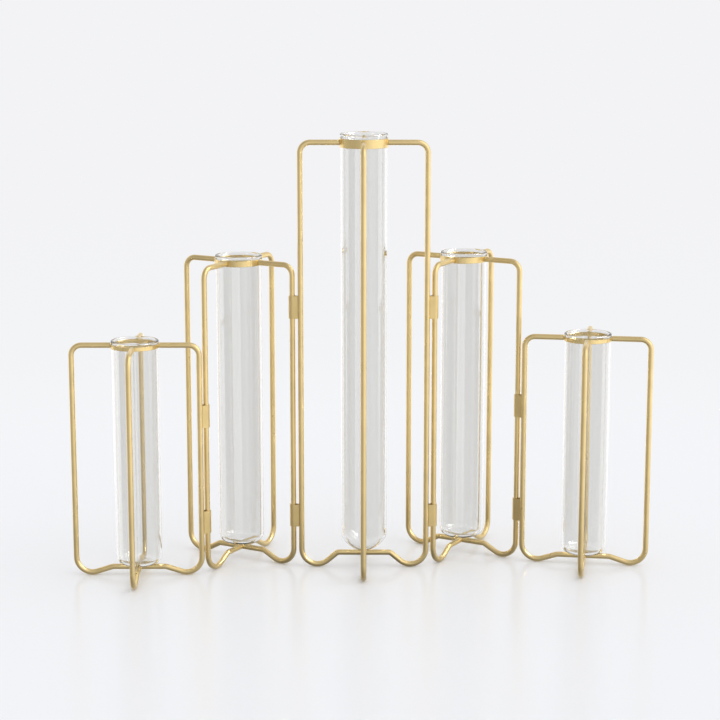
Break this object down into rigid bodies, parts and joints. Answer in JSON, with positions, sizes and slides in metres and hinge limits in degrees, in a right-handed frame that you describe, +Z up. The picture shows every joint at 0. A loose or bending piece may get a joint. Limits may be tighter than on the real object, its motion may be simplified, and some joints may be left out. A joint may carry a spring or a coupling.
{
  "type": "test tube vase",
  "caption": "Folding bud vase: glass test tubes in bent gold wire stands of stepped height, hinged leg to leg so the row can zigzag or bend.",
  "frame": {"origin": "on the floor under the axis of the tall tube", "axes": "+X along the row to the viewer's right, +Y away from the viewer, +Z up"},
  "size_m": [0.3153, 0.1149, 0.2392],
  "materials": {
    "gold_wire": "satin",
    "ring_strip": "satin",
    "clip_strip": "satin",
    "glass": "clear"
  },
  "bodies": {
    "small_left_stand": {"small_left_loop_wire": "gold_wire", "small_left_front_leg": "gold_wire", "small_left_rear_leg": "gold_wire", "small_left_ring": "ring_strip", "hinge_left_outer_upper": "clip_strip", "hinge_left_outer_lower": "clip_strip"},
    "small_left_vessel": {"small_left_tube": "glass"},
    "medium_left_stand": {"medium_left_loop_wire": "gold_wire", "medium_left_front_leg": "gold_wire", "medium_left_rear_leg": "gold_wire", "medium_left_ring": "ring_strip"},
    "medium_left_vessel": {"medium_left_tube": "glass"},
    "tall_stand": {"tall_loop_wire": "gold_wire", "tall_front_leg": "gold_wire", "tall_rear_leg": "gold_wire", "tall_ring": "ring_strip", "hinge_left_inner_upper": "clip_strip", "hinge_left_inner_lower": "clip_strip", "hinge_right_inner_upper": "clip_strip", "hinge_right_inner_lower": "clip_strip"},
    "tall_vessel": {"tall_tube": "glass"},
    "medium_right_stand": {"medium_right_loop_wire": "gold_wire", "medium_right_front_leg": "gold_wire", "medium_right_rear_leg": "gold_wire", "medium_right_ring": "ring_strip"},
    "medium_right_vessel": {"medium_right_tube": "glass"},
    "small_right_stand": {"small_right_loop_wire": "gold_wire", "small_right_front_leg": "gold_wire", "small_right_rear_leg": "gold_wire", "small_right_ring": "ring_strip", "hinge_right_outer_upper": "clip_strip", "hinge_right_outer_lower": "clip_strip"},
    "small_right_vessel": {"small_right_tube": "glass"}
  },
  "joints": [
    {"name": "left_inner_hinge", "type": "hinge", "parent": "tall_stand", "child": "medium_left_stand", "pos_m": [-0.03867, 0.00145, 0], "axis": [0, 0, 1], "range_deg": [-52, 44]},
    {"name": "left_outer_hinge", "type": "hinge", "parent": "medium_left_stand", "child": "small_left_stand", "pos_m": [-0.08514, -0.01196, 0], "axis": [0, 0, 1], "range_deg": [-24, 110]},
    {"name": "right_inner_hinge", "type": "hinge", "parent": "tall_stand", "child": "medium_right_stand", "pos_m": [0.03831, 0.00228, 0], "axis": [0, 0, 1], "range_deg": [-74, 24]},
    {"name": "right_outer_hinge", "type": "hinge", "parent": "medium_right_stand", "child": "small_right_stand", "pos_m": [0.08492, 0.0152, 0], "axis": [0, 0, 1], "range_deg": [-80, 60]},
    {"name": "small_left_tube_lift", "type": "slide", "parent": "small_left_stand", "child": "small_left_vessel", "axis": [0, 0, 1], "range_m": [0, 0.127]},
    {"name": "medium_left_tube_lift", "type": "slide", "parent": "medium_left_stand", "child": "medium_left_vessel", "axis": [0, 0, 1], "range_m": [0, 0.165]},
    {"name": "tall_tube_lift", "type": "slide", "parent": "tall_stand", "child": "tall_vessel", "axis": [0, 0, 1], "range_m": [0, 0.232]},
    {"name": "medium_right_tube_lift", "type": "slide", "parent": "medium_right_stand", "child": "medium_right_vessel", "axis": [0, 0, 1], "range_m": [0, 0.165]},
    {"name": "small_right_tube_lift", "type": "slide", "parent": "small_right_stand", "child": "small_right_vessel", "axis": [0, 0, 1], "range_m": [0, 0.127]}
  ]
}
